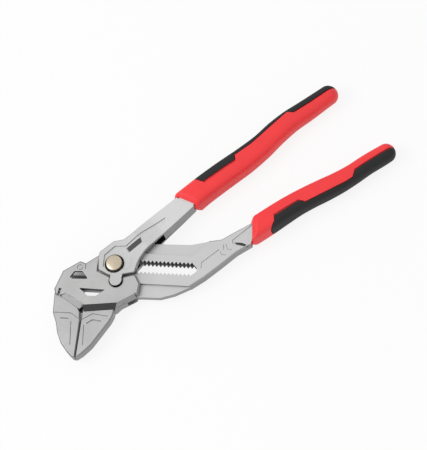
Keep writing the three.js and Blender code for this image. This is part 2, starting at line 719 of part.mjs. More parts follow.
// Joint bolt: flanged in front, toothed flats where it lies in the slot, a ring groove behind;
// the button's stem runs through it to a clip in its back end, and a spring holds the button out
function boltPieces() {
  const flange = recessFloor + runningGap;
  const flangeTop = flange + boltFlangeThickness;
  const ringTop = -recessFloor - runningGap;
  const grooveFoot = ringTop - ringThickness - runningGap;
  const bore = channelHalf + seatGap;
  const grooveRadius = boltRadius - ringGrooveDepth;
  const stemBore = stemRadius + boreGap;
  const stemGroove = stemRadius - stemGrooveDepth;
  const clipBore = stemGroove + seatGap + clipWidth + runningGap;
  const clipCeiling = buttonTravel + 2 * (clipThickness + runningGap) - headHalf;
  const turnedBolt = turned([
    [stemBore, clipCeiling],
    [clipBore, clipCeiling],
    [clipBore, -headHalf],
    [boltRadius, -headHalf],
    [boltRadius, grooveFoot],
    [grooveRadius, grooveFoot],
    [grooveRadius, -recessFloor],
    [boltRadius, -recessFloor],
    [boltRadius, flange],
    [boltFlangeRadius, flange],
    [boltFlangeRadius, flangeTop],
    [springBoreRadius, flangeTop],
    [springBoreRadius, bore],
    [stemBore, bore],
    [stemBore, clipCeiling],
  ]);
  const crest = toothTip - boltToothGap;
  const root = crest - boltToothDepth;
  const reach = boltRadius + overrun;
  const flat = [[-reach, reach], [-reach, root]];
  for (let i = -2; i < 2; i += 1) {
    for (const [a, b] of flankShares) {
      flat.push([(i + a) * toothPitch, root + b * boltToothDepth]);
    }
  }
  flat.push([reach, root], [reach, reach]);
  const bolt = turnedBolt
    .subtract(prism(flat, -channelHalf, channelHalf))
    .subtract(prism(flat.map(([u, v]) => [u, -v]), -channelHalf, channelHalf));

  const under = flangeTop + runningGap + buttonTravel;
  const rim = under + buttonRim;
  const clipTop = clipCeiling - runningGap;
  const stemFoot = clipTop - clipThickness - runningGap;
  const dome = [0, 1, 2, 3, 4, 5].map((i) => {
    const angle = (Math.PI / 2) * (i / 6);
    return [buttonRadius * Math.cos(angle), rim + buttonDome * Math.sin(angle)];
  });
  const button = turned([
    [0, stemFoot - clipThickness],
    [stemRadius, stemFoot - clipThickness],
    [stemRadius, stemFoot],
    [stemGroove, stemFoot],
    [stemGroove, clipCeiling],
    [stemRadius, clipCeiling],
    [stemRadius, under],
    [buttonRadius, under],
    ...dome,
    [0, rim + buttonDome],
  ]);
  const ring = flatRing(grooveRadius + seatGap, ringWidth, ringTop, ringThickness, ringOpening);
  const clip = flatRing(stemGroove + seatGap, clipWidth, clipTop, clipThickness);
  return [
    piece('joint_bolt', bolt, darkSteel),
    piece('bolt_ring', ring, darkSteel),
    piece('push_button', button, champagne),
    piece('stem_clip', clip, darkSteel),
    piece('button_spring', spring(bore + seatGap, under - seatGap), darkSteel),
  ];
}

// A coil spring of round wire between two heights
function spring(low, high) {
  const wire = springWire / 2;
  const steps = 20 * springTurns;
  const sides = 8;
  const points = [];
  for (let i = 0; i <= steps; i += 1) {
    const angle = (2 * Math.PI * springTurns * i) / steps;
    const z = THREE.MathUtils.lerp(low + wire, high - wire, i / steps);
    for (let k = 0; k < sides; k += 1) {
      const turn = (2 * Math.PI * k) / sides;
      const r = springRadius + wire * Math.cos(turn);
      points.push(r * Math.cos(angle), r * Math.sin(angle), z + wire * Math.sin(turn));
    }
  }
  const ring = (i, k) => i * sides + (k % sides);
  const faces = [];
  for (let i = 0; i < steps; i += 1) {
    for (let k = 0; k < sides; k += 1) {
      faces.push(ring(i, k), ring(i + 1, k), ring(i + 1, k + 1));
      faces.push(ring(i, k), ring(i + 1, k + 1), ring(i, k + 1));
    }
  }
  for (let k = 1; k < sides - 1; k += 1) {
    faces.push(ring(0, 0), ring(0, k), ring(0, k + 1));
    faces.push(ring(steps, 0), ring(steps, k + 1), ring(steps, k));
  }
  return faceted(points, faces);
}

const pieces = [
  fixedHandle(),
  ...movingJaw(),
  lever(),
  ...boltPieces(),
  ...gripPieces(upperGrip, 'upper'),
  ...gripPieces(lowerGrip, 'lower'),
];
const model = new THREE.Group();
for (const mesh of pieces) model.add(mesh);
model.rotation.z = radians(restingTurn);

// The frame's origin is the middle of the underside
const box = new THREE.Box3().setFromObject(model, true);
const middle = box.getCenter(new THREE.Vector3());
model.position.set(-middle.x, -middle.y, -box.min.z);

export default model;
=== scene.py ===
# %% [markdown]
# # A pliers wrench, dressed for the camera
# The forgings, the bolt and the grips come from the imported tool, in metres, lying flat on their
# back with the jaws on the left. This lesson gives them their finishes, makes the soft grips and
# the push button as fine surfaces, and lights the tool on a white table.

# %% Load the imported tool
import json
import math

import bpy
import numpy as np
from mathutils import Matrix, Vector


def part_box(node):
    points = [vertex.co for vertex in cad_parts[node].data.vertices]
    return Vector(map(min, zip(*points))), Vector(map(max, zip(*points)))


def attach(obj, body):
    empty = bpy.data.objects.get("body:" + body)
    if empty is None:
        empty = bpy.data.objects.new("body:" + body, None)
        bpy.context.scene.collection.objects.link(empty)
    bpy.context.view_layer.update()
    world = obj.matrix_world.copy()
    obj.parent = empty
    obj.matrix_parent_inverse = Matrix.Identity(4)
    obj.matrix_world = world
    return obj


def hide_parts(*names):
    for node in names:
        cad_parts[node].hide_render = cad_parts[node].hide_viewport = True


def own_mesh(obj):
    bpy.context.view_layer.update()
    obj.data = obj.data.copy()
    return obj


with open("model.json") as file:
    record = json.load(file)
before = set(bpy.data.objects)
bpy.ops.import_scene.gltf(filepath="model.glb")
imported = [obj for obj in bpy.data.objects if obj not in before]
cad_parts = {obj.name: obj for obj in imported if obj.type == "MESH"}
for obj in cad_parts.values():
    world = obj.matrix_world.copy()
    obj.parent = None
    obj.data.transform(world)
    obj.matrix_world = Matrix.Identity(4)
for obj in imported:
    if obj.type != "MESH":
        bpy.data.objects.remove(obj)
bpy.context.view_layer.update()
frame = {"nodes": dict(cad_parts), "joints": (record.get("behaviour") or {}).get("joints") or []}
joints = {joint["name"]: joint for joint in frame["joints"]}
BOLT = np.array(joints["lever_hinge"]["pos_m"])
ALONG = np.array(joints["bolt_slide"]["axis"])
UPWARD = np.array([0.0, 0.0, 1.0])
ACROSS = np.cross(UPWARD, ALONG)
print("Bolt at", BOLT.round(4), "and", len(frame["nodes"]), "pieces in the frame")

# %% [markdown]
# ## The camera
# The photograph looks steeply down on the tool from the jaw side through a long lens. A lens of
# 288 mm from 2.4 m away keeps the outlines nearly free of perspective. The camera could be aimed
# with a Track To constraint, but then its roll would have to be found by trial. So its own three
# directions are written down, and it is placed by saying where the bolt stands in the frame.

# %% Camera
VIEW_RIGHT = Vector((0.76271, -0.61799, -0.19069))
VIEW_UP = Vector((0.63815, 0.67121, 0.37714))
VIEW_BACK = Vector((-0.10508, -0.40934, 0.90632))
VIEW_DISTANCE = 2.4
FRAME_HEIGHT = 0.3
BOLT_LEFT_OF_MIDDLE = 0.0645
BOLT_BELOW_MIDDLE = 0.0284

camera_data = bpy.data.cameras.new("camera")
camera_data.lens = camera_data.sensor_width * VIEW_DISTANCE / FRAME_HEIGHT
camera = bpy.data.objects.new("camera", camera_data)
bpy.context.scene.collection.objects.link(camera)
aim = Vector(BOLT) + VIEW_RIGHT * BOLT_LEFT_OF_MIDDLE + VIEW_UP * BOLT_BELOW_MIDDLE
turn = Matrix((VIEW_RIGHT, VIEW_UP, VIEW_BACK)).transposed()
camera.matrix_world = Matrix.Translation(aim + VIEW_BACK * VIEW_DISTANCE) @ turn.to_4x4()
bpy.context.scene.camera = camera
bpy.context.scene.view_settings.view_transform = "Standard"
print("Lens", round(camera_data.lens), "mm")

# %% [markdown]
# ## Small helpers for node trees
# Every finish below is a tree of nodes. Each node could be made and linked by hand in three or
# four lines, but the same few steps come back all the time. So small helpers add a node with its
# inputs, place a group, work on numbers and arrows, stretch a value to a new range and mix two
# colours, and the trees stay short enough to read.

# %% Node helpers
def add(tree, kind, inputs=None, **settings):
    """A new node: settings are its properties, inputs its sockets by name or number. A socket
    that is given an output is linked to it, and otherwise takes the value."""
    node = tree.nodes.new(kind)
    for name, value in settings.items():
        setattr(node, name, value)
    for name, value in (inputs or {}).items():
        if isinstance(value, bpy.types.NodeSocket):
            tree.links.new(value, node.inputs[name])
        else:
            node.inputs[name].default_value = value
    return node


def placed(tree, group, inputs=None):
    """One use of a node group, with its own values."""
    return add(tree, "ShaderNodeGroup", inputs, node_tree=group).outputs


def object_place(tree):
    """Where a point lies in the tool's own coordinates."""
    return add(tree, "ShaderNodeTexCoord").outputs["Object"]


print("Helpers for nodes are ready")

# %% Number and colour helpers
def worked(tree, operation, *values):
    """One step of arithmetic on numbers, such as MULTIPLY or MAXIMUM."""
    return add(tree, "ShaderNodeMath", dict(enumerate(values)), operation=operation).outputs["Value"]


def agreement(tree, first, second):
    """The dot product of two arrows: for unit arrows, 1 where they point the same way."""
    arrows = {0: first, 1: second}
    return add(tree, "ShaderNodeVectorMath", arrows, operation="DOT_PRODUCT").outputs["Value"]


def ranged(tree, value, low, high, to_low=0.0, to_high=1.0):
    """A value stretched from the range low to high to the range to_low to to_high."""
    ends = {"Value": value, "From Min": low, "From Max": high, "To Min": to_low, "To Max": to_high}
    return add(tree, "ShaderNodeMapRange", ends).outputs["Result"]


def mixed(tree, factor, first, second):
    """The colour between two colours: the first at factor 0 and the second at factor 1."""
    sockets = {0: factor, 6: first, 7: second}
    return add(tree, "ShaderNodeMix", sockets, data_type="RGBA").outputs[2]


def rgb(red, green, blue):
    return (red, green, blue, 1.0)


def grey(tone):
    return rgb(tone, tone, tone)


print("A middle grey is", grey(0.5))

# %% [markdown]
# ## Effects that several finishes share
# Blasted steel and moulded plastic both have a fine grain over broad, faint clouds. Every part
# has edges painted brighter than its faces, partly as wear and partly as a painted highlight, and
# hollows painted darker as the shade that falls in them. A painted image could hold all this, but
# it would have to be drawn anew for each piece. Here each effect is a group made once: two noises
# for the grain, a comparison of the rounded and the true surface direction for the edges, and the
# light that reaches a hollow for the painted shade.

# %% Group helper
NUMBER, ARROW = "NodeSocketFloat", "NodeSocketVector"


def new_group(title, inputs, outputs):
    """An empty node group with its named inputs and outputs, and the two nodes that hold them."""
    group = bpy.data.node_groups.new(title, "ShaderNodeTree")
    for name, kind in inputs:
        group.interface.new_socket(name, in_out="INPUT", socket_type=kind)
    for name, kind in outputs:
        group.interface.new_socket(name, in_out="OUTPUT", socket_type=kind)
    print("Made the group", title)
    return group, group.nodes.new("NodeGroupInput"), group.nodes.new("NodeGroupOutput")


# %% Grain group
GRAIN_ROUGHNESS = 0.6
FINE_DETAIL = 3.0
BROAD_DETAIL = 4.0

grain_group, ends_in, ends_out = new_group(
    "fine grain",
    [("Fine scale", NUMBER), ("Broad scale", NUMBER)],
    [("Fine", NUMBER), ("Broad", NUMBER)],
)
place = object_place(grain_group)
for output, detail in (("Fine", FINE_DETAIL), ("Broad", BROAD_DETAIL)):
    scale = ends_in.outputs[f"{output} scale"]
    sockets = {"Vector": place, "Scale": scale, "Detail": detail, "Roughness": GRAIN_ROUGHNESS}
    noise = add(grain_group, "ShaderNodeTexNoise", sockets)
    grain_group.links.new(noise.outputs["Fac"], ends_out.inputs[output])

# %% Edge group for wear and painted highlight
# The edges are brightened partly as wear and partly as a painted highlight.
EDGE_STARTS = 0.995
EDGE_FULL = 0.88
EDGE_SAMPLES = 6

edge_group, ends_in, ends_out = new_group(
    "worn edges", [("Radius", NUMBER)], [("Normal", ARROW), ("Edge", NUMBER)]
)
bevel_sockets = {"Radius": ends_in.outputs["Radius"]}
rounded = add(edge_group, "ShaderNodeBevel", bevel_sockets, samples=EDGE_SAMPLES).outputs["Normal"]
flat = add(edge_group, "ShaderNodeNewGeometry").outputs["Normal"]
edge = ranged(edge_group, agreement(edge_group, rounded, flat), EDGE_STARTS, EDGE_FULL)
edge_group.links.new(rounded, ends_out.inputs["Normal"])
edge_group.links.new(edge, ends_out.inputs["Edge"])

# %% Hollow group
# Painted shade: hollows that the light reaches less are darkened.
HOLLOW_STARTS = 0.82
HOLLOW_FULL = 0.35
HOLLOW_SAMPLES = 8

hollow_group, ends_in, ends_out = new_group(
    "dirt in hollows", [("Reach", NUMBER)], [("Hollow", NUMBER)]
)
light_in = add(
    hollow_group,
    "ShaderNodeAmbientOcclusion",
    {"Distance": ends_in.outputs["Reach"]},
    samples=HOLLOW_SAMPLES,
    only_local=True,
).outputs["AO"]
hollow = ranged(hollow_group, light_in, HOLLOW_STARTS, HOLLOW_FULL)
hollow_group.links.new(hollow, ends_out.inputs["Hollow"])

# %% [markdown]
# ## Where a surface lies
# The forgings are bright on their flat faces, and their side walls, chamfers and cuts get painted
# shade, darker tones laid on by how they lean or where they lie. The faces could be picked one by
# one and given materials of their own, but a forging's mesh comes from the imported tool and may
# change. Two groups find the places by themselves: one by how far a surface leans from flat, and
# one by whether a point lies in a box drawn along the slot, across it and upwards.

# %% Side wall group
LYING_FLAT = 0.985
STANDING_UP = 0.45
CHAMFER_LEAN = math.sqrt(0.5)
CHAMFER_SPREAD = 0.06

wall_group, ends_in, ends_out = new_group("side walls", [], [("Side", NUMBER), ("Chamfer", NUMBER)])
facing = add(wall_group, "ShaderNodeNewGeometry").outputs["True Normal"]
upward_part = add(wall_group, "ShaderNodeSeparateXYZ", {"Vector": facing}).outputs["Z"]
flatness = worked(wall_group, "ABSOLUTE", upward_part)
side = ranged(wall_group, flatness, LYING_FLAT, STANDING_UP)
chamfer = worked(wall_group, "COMPARE", flatness, CHAMFER_LEAN, CHAMFER_SPREAD)
wall_group.links.new(side, ends_out.inputs["Side"])
wall_group.links.new(chamfer, ends_out.inputs["Chamfer"])

# %% Box group
box_group, ends_in, ends_out = new_group(
    "inside a box", [("Middle", ARROW), ("Half size", ARROW)], [("Inside", NUMBER)]
)
arrows = {0: object_place(box_group), 1: ends_in.outputs["Middle"]}
from_middle = add(box_group, "ShaderNodeVectorMath", arrows, operation="SUBTRACT").outputs[0]
half_size = add(box_group, "ShaderNodeSeparateXYZ", {"Vector": ends_in.outputs["Half size"]})
inside = 1.0
for axis, direction in (("X", ALONG), ("Y", ACROSS), ("Z", UPWARD)):
    reach = agreement(box_group, from_middle, tuple(direction))
    near = worked(box_group, "COMPARE", reach, 0.0, half_size.outputs[axis])
    inside = worked(box_group, "MULTIPLY", inside, near)
box_group.links.new(inside, ends_out.inputs["Inside"])

# %% [markdown]
# ## From effects to a finish
# A finish is a Principled shader fed by those groups. One flat colour would do for a toy, but
# real metal and plastic are read by their unevenness: faint clouds and speckles in the colour,
# edges brightened by wear and a painted highlight, hollows darkened by painted shade, and a grain
# that breaks up the shine. Every finish here has all of these, so one function builds them from a
# few tones and sizes. Values that don't vary are set on the shader itself.

# %% Surface builder
CLOUD_TONE = 0.9
CLOUD_ENDS = (0.35, 0.65)
GRAIN_ENDS = (0.3, 0.7)
SPECKLE_SHARE = 0.25


def surface(name, face, worn, hollow_shade, scales, edge_radius, reach, roughness, relief, metallic=0.0):
    """A finish from the tones of its faces, of its edges brightened by wear and a painted
    highlight, and of the painted shade in its hollows, the two scales of its grain, the radius of
    its edges, the reach of its hollows, the range of its roughness, and the depth and strength of
    its relief."""
    material = bpy.data.materials.new(name)
    material.use_nodes = True
    material.diffuse_color = face
    tree = material.node_tree
    shader = tree.nodes["Principled BSDF"]
    grain = placed(tree, grain_group, {"Fine scale": scales[0], "Broad scale": scales[1]})
    edges = placed(tree, edge_group, {"Radius": edge_radius})
    hollows = placed(tree, hollow_group, {"Reach": reach})
    cloudy = tuple(CLOUD_TONE * part for part in face[:3]) + (1.0,)
    colour = mixed(tree, ranged(tree, grain["Broad"], *CLOUD_ENDS), cloudy, face)
    speckle = ranged(tree, grain["Fine"], *GRAIN_ENDS, 0.0, SPECKLE_SHARE)
    colour = mixed(tree, speckle, colour, worn)
    # Edges brightened by wear and a painted highlight; hollows darkened by painted shade.
    colour = mixed(tree, edges["Edge"], colour, worn)
    colour = mixed(tree, hollows["Hollow"], colour, hollow_shade)
    tree.links.new(colour, shader.inputs["Base Color"])
    tree.links.new(ranged(tree, grain["Fine"], *GRAIN_ENDS, *roughness), shader.inputs["Roughness"])
    shader.inputs["Metallic"].default_value = metallic
    sockets = {"Height": grain["Fine"], "Normal": edges["Normal"]}
    bump = add(tree, "ShaderNodeBump", {**sockets, "Distance": relief[0], "Strength": relief[1]})
    tree.links.new(bump.outputs["Normal"], shader.inputs["Normal"])
    print("Made the finish", name)
    return material


def tinted(material, mask, tone):
    """Lays a tone over a finish's colour where a mask is 1."""
    tree = material.node_tree
    base = tree.nodes["Principled BSDF"].inputs["Base Color"]
    under = base.links[0].from_socket
    tree.links.new(mixed(tree, mask, under, tone), base)


# %% [markdown]
# ## Steel
# The forgings are blasted and satin plated, so their steel is light and soft in its shine, and its
# side walls and chamfers get painted shade, darker tones by how they lean. The bolt, its ring, its
# clip and its spring are darker, and the floor of the name plate is etched nearly black. Full metal
# would mirror the white room and come out too bright, so each steel is a little less than fully
# metallic.

# %% Satin steel
WALL_SHADE_TONE = 0.29
CHAMFER_SHADE_TONE = 0.24

satin_steel = surface(
    "satin_steel",
    face=rgb(0.46, 0.46, 0.458),
    worn=rgb(0.56, 0.56, 0.557),
    hollow_shade=rgb(0.05, 0.05, 0.048),
    scales=(2600.0, 60.0),
    edge_radius=0.0003,
    reach=0.0009,
    roughness=(0.34, 0.5),
    relief=(0.00004, 0.35),
    metallic=0.85,
)
# Painted shade: side walls and chamfers take darker tones by how they lean.
walls = placed(satin_steel.node_tree, wall_group)
tinted(satin_steel, walls["Side"], grey(WALL_SHADE_TONE))
tinted(satin_steel, walls["Chamfer"], grey(CHAMFER_SHADE_TONE))

# %% Dark and etched steel
dark_steel = surface(
    "dark_steel",
    face=rgb(0.16, 0.16, 0.158),
    worn=rgb(0.3, 0.3, 0.295),
    hollow_shade=grey(0.02),
    scales=(3000.0, 90.0),
    edge_radius=0.0002,
    reach=0.0008,
    roughness=(0.32, 0.5),
    relief=(0.00003, 0.3),
    metallic=0.9,
)
etched_steel = surface(
    "etched_steel",
    face=rgb(0.075, 0.075, 0.074),
    worn=rgb(0.16, 0.16, 0.158),
    hollow_shade=grey(0.02),
    scales=(3000.0, 90.0),
    edge_radius=0.0002,
    reach=0.0008,
    roughness=(0.4, 0.55),
    relief=(0.00003, 0.3),
    metallic=0.7,
)

# %% [markdown]
# ## Each forging's own places
# The three forgings aren't even. The walls of the slot, of the jaw's openings and of the lever's
# head get painted shade, nearly black, and so do the slope and bevel between the cheeks and the
# moving jaw, the fork's end and the floors round the button, in the fork and behind the window.
# The slot plate and the lever's shank are lighter than the heads. Each forging gets a copy of the
# steel with these places laid over it: walls in a box, a slope found by its direction, the floor
# of a pocket, and a tone that comes in along a line. The places are measured from the bolt: along
# the slot, across it, and up.

# %% Helpers for walls and floors
FULL_HEIGHT = 0.02


def copied(material, name):
    copy = material.copy()
    copy.name = name
    return copy


def inside_box(material, middle, half):
    """The mask of a box, given by its middle and half size."""
    place = BOLT + middle[0] * ALONG + middle[1] * ACROSS + middle[2] * UPWARD
    sockets = {"Middle": tuple(place), "Half size": half}
    return placed(material.node_tree, box_group, sockets)["Inside"]


def painted_shade_walls(material, middle, half, tone):
    """Paints shade on the walls that stand inside a box, at any height."""
    tree = material.node_tree
    walls = placed(tree, wall_group)
    box = inside_box(material, (*middle, 0.0), (*half, FULL_HEIGHT))
    tinted(material, worked(tree, "MULTIPLY", box, walls["Side"]), grey(tone))


def dark_floor(material, middle, half, tone):
    """Darkens all that lies inside a low box, such as the floor of a pocket."""
    tinted(material, inside_box(material, middle, half), grey(tone))


print("Places are measured from the bolt, along", ALONG.round(3), "and across", ACROSS.round(3))

# %% Helpers for slopes and lines
SLOPE_STARTS = 0.975
SLOPE_FULL = 0.99


def painted_shade_slope(material, leaning, tone):
    """Paints shade, a darker tone, on the faces that lean a given way."""
    tree = material.node_tree
    direction = leaning[0] * ALONG + leaning[1] * ACROSS + leaning[2] * UPWARD
    direction = direction / np.linalg.norm(direction)
    facing = add(tree, "ShaderNodeNewGeometry").outputs["True Normal"]
    match = agreement(tree, facing, tuple(direction))
    tinted(material, ranged(tree, match, SLOPE_STARTS, SLOPE_FULL), grey(tone))


def along_line(material, direction, start, end, share, tone):
    """Brings in a tone on flat faces along a direction, from start to end past the bolt, up to a
    share of it."""
    tree = material.node_tree
    direction = direction / np.linalg.norm(direction)
    reach = agreement(tree, object_place(tree), tuple(direction))
    foot = float(BOLT @ direction)
    ramp = ranged(tree, reach, foot + start, foot + end, 0.0, share)
    walls = placed(tree, wall_group)
    flat_share = ranged(tree, walls["Side"], 0.0, 1.0, 1.0, 0.0)
    tinted(material, worked(tree, "MULTIPLY", ramp, flat_share), grey(tone))


print("Slopes within", round(math.degrees(math.acos(SLOPE_STARTS))), "degrees take a tone")

# %% Steel of the fixed handle
# Painted shade: the slot's walls are laid nearly black.
SLOT_WALL_SHADE = {"middle": (0.031, 0.0), "half": (0.0265, 0.0052), "tone": 0.02}
SLOT_PLATE = {"start": 0.008, "end": 0.03, "share": 0.6, "tone": 0.6}
NECK_DIMPLE = {"middle": (0.083, 0.0198, 0.0024), "half": (0.0052, 0.0016, 0.0006), "tone": 0.06}

slotted_steel = copied(satin_steel, "slotted_steel")
painted_shade_walls(slotted_steel, **SLOT_WALL_SHADE)
along_line(slotted_steel, ALONG, **SLOT_PLATE)
dark_floor(slotted_steel, **NECK_DIMPLE)
print("Made", slotted_steel.name)

# %% Steel of the moving jaw
# Painted shade: the cheeks' step and bevel, the walls of the jaw's openings and the floor behind the
# window are laid darker.
CHEEK_STEP_SHADE = {"leaning": (0.05, -0.45, 0.89), "tone": 0.045}
CHEEK_BEVEL_SHADE = {"leaning": (-0.16, -0.3, 0.94), "tone": 0.17}
CHEEK_WALL_SHADE = {"middle": (-0.01075, -0.01525), "half": (0.01875, 0.00975), "tone": 0.02}
SHADE_BEHIND_WINDOW = {"middle": (-0.0235, -0.009, -0.004), "half": (0.0075, 0.0035, 0.0008), "tone": 0.11}

stepped_steel = copied(satin_steel, "stepped_steel")
painted_shade_slope(stepped_steel, **CHEEK_STEP_SHADE)
painted_shade_slope(stepped_steel, **CHEEK_BEVEL_SHADE)
painted_shade_walls(stepped_steel, **CHEEK_WALL_SHADE)
dark_floor(stepped_steel, **SHADE_BEHIND_WINDOW)
print("Made", stepped_steel.name)

# %% Steel of the lever
LEVER_ANGLE = math.radians(52)
# Painted shade: the walls round the lever's head, the floor round the button, the fork's back floor
# and the fork's end are laid darker.
HEAD_WALL_SHADE = {"middle": (0.0015, -0.0095), "half": (0.014, 0.0075), "tone": 0.06}
# The shank gets lighter along its length.
LIGHTER_SHANK = {"start": -0.025, "end": 0.045, "share": 0.8, "tone": 0.68}
SHADE_ROUND_BUTTON = {"middle": (0.0, 0.0, 0.0057), "half": (0.0066, 0.0066, 0.0004), "tone": 0.02}
FORK_FLOOR_SHADE = {"middle": (0.02, 0.02, -0.004), "half": (0.022, 0.022, 0.00015), "tone": 0.02}
FORK_END_SHADE = {"leaning": (-math.cos(LEVER_ANGLE), -math.sin(LEVER_ANGLE), 0.0), "tone": 0.02}

lever_steel = copied(satin_steel, "lever_steel")
shank_direction = math.cos(LEVER_ANGLE) * ALONG + math.sin(LEVER_ANGLE) * ACROSS
painted_shade_walls(lever_steel, **HEAD_WALL_SHADE)
along_line(lever_steel, shank_direction, **LIGHTER_SHANK)
dark_floor(lever_steel, **SHADE_ROUND_BUTTON)
dark_floor(lever_steel, **FORK_FLOOR_SHADE)
painted_shade_slope(lever_steel, **FORK_END_SHADE)
print("Made", lever_steel.name)

# %% [markdown]
# ## Plastics of the grips
# A grip is moulded in two goes: a hard, satin red plastic, and a soft, matte black rubber let
# into it. Both are plain shaders without metal. The rubber reflects less than plastic does, so
# its specular level is turned down; a higher roughness alone would leave it greyish.

# %% Grip plastics
RUBBER_SPECULAR = 0.35

red_plastic = surface(
    "red_plastic",
    face=rgb(0.92, 0.03, 0.035),
    worn=rgb(0.95, 0.06, 0.065),
    hollow_shade=rgb(0.3, 0.003, 0.006),
    scales=(2200.0, 45.0),
    edge_radius=0.0005,
    reach=0.0012,
    roughness=(0.4, 0.52),
    relief=(0.00005, 0.3),
)
black_rubber = surface(
    "black_rubber",
    face=rgb(0.009, 0.0093, 0.0096),
    worn=rgb(0.018, 0.0185, 0.019),
    hollow_shade=grey(0.004),
    scales=(1500.0, 50.0),
    edge_radius=0.0005,
    reach=0.001,
    roughness=(0.55, 0.72),
    relief=(0.00012, 0.5),
)
rubber_shader = black_rubber.node_tree.nodes["Principled BSDF"]
rubber_shader.inputs["Specular IOR Level"].default_value = RUBBER_SPECULAR

# %% [markdown]
# ## Plating of the button
# The button was turned on a lathe and plated in a warm tone, and its polish still shows fine
# rings. Rings as geometry would need thousands of faces, so they are a wave texture centred on
# the bolt, which leans the surface a little on top of the grain.

# %% Button plating
RING_SPACING = 0.00018
WAVES_TO_SCALE = 0.05
RING_DISTORTION = 0.4
RING_DEPTH = 0.000008
RING_STRENGTH = 0.4

button_plating = surface(
    "button_plating",
    face=rgb(0.56, 0.475, 0.36),
    worn=rgb(0.68, 0.6, 0.49),
    hollow_shade=rgb(0.1, 0.075, 0.05),
    scales=(1400.0, 420.0),
    edge_radius=0.0003,
    reach=0.0008,
    roughness=(0.26, 0.4),
    relief=(0.00003, 0.3),
    metallic=0.85,
)
tree = button_plating.node_tree
from_bolt = {"Vector": object_place(tree), "Location": tuple(-BOLT)}
centred = add(tree, "ShaderNodeMapping", from_bolt).outputs["Vector"]
wave_scale = WAVES_TO_SCALE / RING_SPACING
sockets = {"Vector": centred, "Scale": wave_scale, "Distortion": RING_DISTORTION}
rings = add(tree, "ShaderNodeTexWave", sockets, wave_type="RINGS", rings_direction="Z")
sockets = {"Height": rings.outputs["Fac"], "Normal": tree.nodes["Bump"].outputs["Normal"]}
sockets |= {"Distance": RING_DEPTH, "Strength": RING_STRENGTH}
turned_marks = add(tree, "ShaderNodeBump", sockets)
shader = tree.nodes["Principled BSDF"]
tree.links.new(turned_marks.outputs["Normal"], shader.inputs["Normal"])

# %% [markdown]
# ## The forgings and the bolt
# The three forgings and the parts round the bolt already have their real shapes, with chamfered
# rims and stamped grooves. They could be made again with finer bevels, but from the camera a
# chamfer of a tenth of a millimetre more or less can't be seen. So they stay as they are and
# only take their finish.

# %% Dress the steel pieces
finishes = {
    "fixed_handle": slotted_steel,
    "moving_jaw": stepped_steel,
    "cheek_pin": satin_steel,
    "lever_handle": lever_steel,
    "joint_bolt": dark_steel,
    "bolt_ring": dark_steel,
    "stem_clip": dark_steel,
    "button_spring": dark_steel,
}
for node, finish in finishes.items():
    frame["nodes"][node].data.materials.clear()
    frame["nodes"][node].data.materials.append(finish)
print("Dressed", len(finishes), "steel pieces")

# %% [markdown]
# ## The spring under the button
# The spring stands in the bolt and carries the button. When the button is pressed the spring gets
# shorter, from its fixed lower end upwards. It could be left at its full length, because it can't
# be seen, but then it would stand through the pressed button. Here it only gets its box read and
# a mesh of its own.

low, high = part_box("button_spring")
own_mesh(frame["nodes"]["button_spring"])

# %% [markdown]
# ## Meshes from arrays
# New pieces are lofts: a row of closed rings, each with the same number of points, joined one to
# the next. A lathe shape, a grip and a small plate are all rings of some kind, so one function
# makes them all, where Blender's own tools would need a screw, a sculpted cage and a bevel. It
# closes each end with a single point, and turns the faces outwards by the sign of the volume that
# they enclose.

# %% Points in the tool
def in_tool(u, v, z):
    """Points from the tool's own axes: the bolt, plus u along the slot, v across it and z up."""
    u, v, z = np.broadcast_arrays(u, v, z)
    return BOLT + u[..., None] * ALONG + v[..., None] * ACROSS + z[..., None] * UPWARD


print("A point 10 mm along the slot:", in_tool(0.01, 0, 0).round(4))

# %% Loft helper
SHARP_ANGLE = math.radians(32)


def loft(name, rings, first, last, finish):
    """A closed solid through rings, an array of shape (rings, points, 3). first and last are the
    points that close the ends. Each face joins points k and k + 1 of ring i to those of ring
    i + 1, and the volume is the sum of a . (b x c) / 6 over the triangles a, b, c."""
    count, around = rings.shape[:2]
    points = np.concatenate([rings.reshape(-1, 3), [first, last]])
    i, k = np.meshgrid(np.arange(count - 1), np.arange(around), indexing="ij")
    a, b = i * around + k, i * around + (k + 1) % around
    quads = np.stack([a, b, b + around, a + around], axis=-1).reshape(-1, 4)
    k = np.arange(around)
    after = (k + 1) % around
    pole, end = count * around, (count - 1) * around
    start_fan = np.stack([np.full(around, pole), after, k], axis=-1)
    end_fan = np.stack([np.full(around, pole + 1), end + k, end + after], axis=-1)
    corners = np.concatenate([quads[:, :3], quads[:, [0, 2, 3]], start_fan, end_fan])
    p, q, r = (points[corners[:, n]] for n in range(3))
    inside_out = np.einsum("ij,ij->i", p, np.cross(q, r)).sum() < 0
    step = -1 if inside_out else 1
    faces = [face[::step] for part in (quads, start_fan, end_fan) for face in part.tolist()]
    mesh = bpy.data.meshes.new(name)
    mesh.from_pydata(points.tolist(), [], faces)
    mesh.shade_smooth()
    mesh.set_sharp_from_angle(angle=SHARP_ANGLE)
    mesh.materials.append(finish)
    piece = bpy.data.objects.new(name, mesh)
    bpy.context.scene.collection.objects.link(piece)
    print(name, "has", len(faces), "faces")
    return piece


print("Edges sharper than", round(math.degrees(SHARP_ANGLE)), "degrees stay sharp")

# %% What a new piece stands for
def belongs(piece, body, slot, *nodes):
    """The piece moves with a body and stands for its nodes, which are hidden. slot is not used."""
    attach(piece, body)
    if nodes:
        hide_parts(*nodes)


print("The record's joints:", ", ".join(joints))

# %% [markdown]
# ## The push button
# The button is one turned part: a stem with a groove for its clip, and a low domed head. A
# cylinder with a bevel would come close, but its top would be flat. So it is a profile spun about
# the bolt's line. The dome is a flat ellipse, so that it shows one soft highlight, and its rim is
# rounded a little, as a plated part's always is.

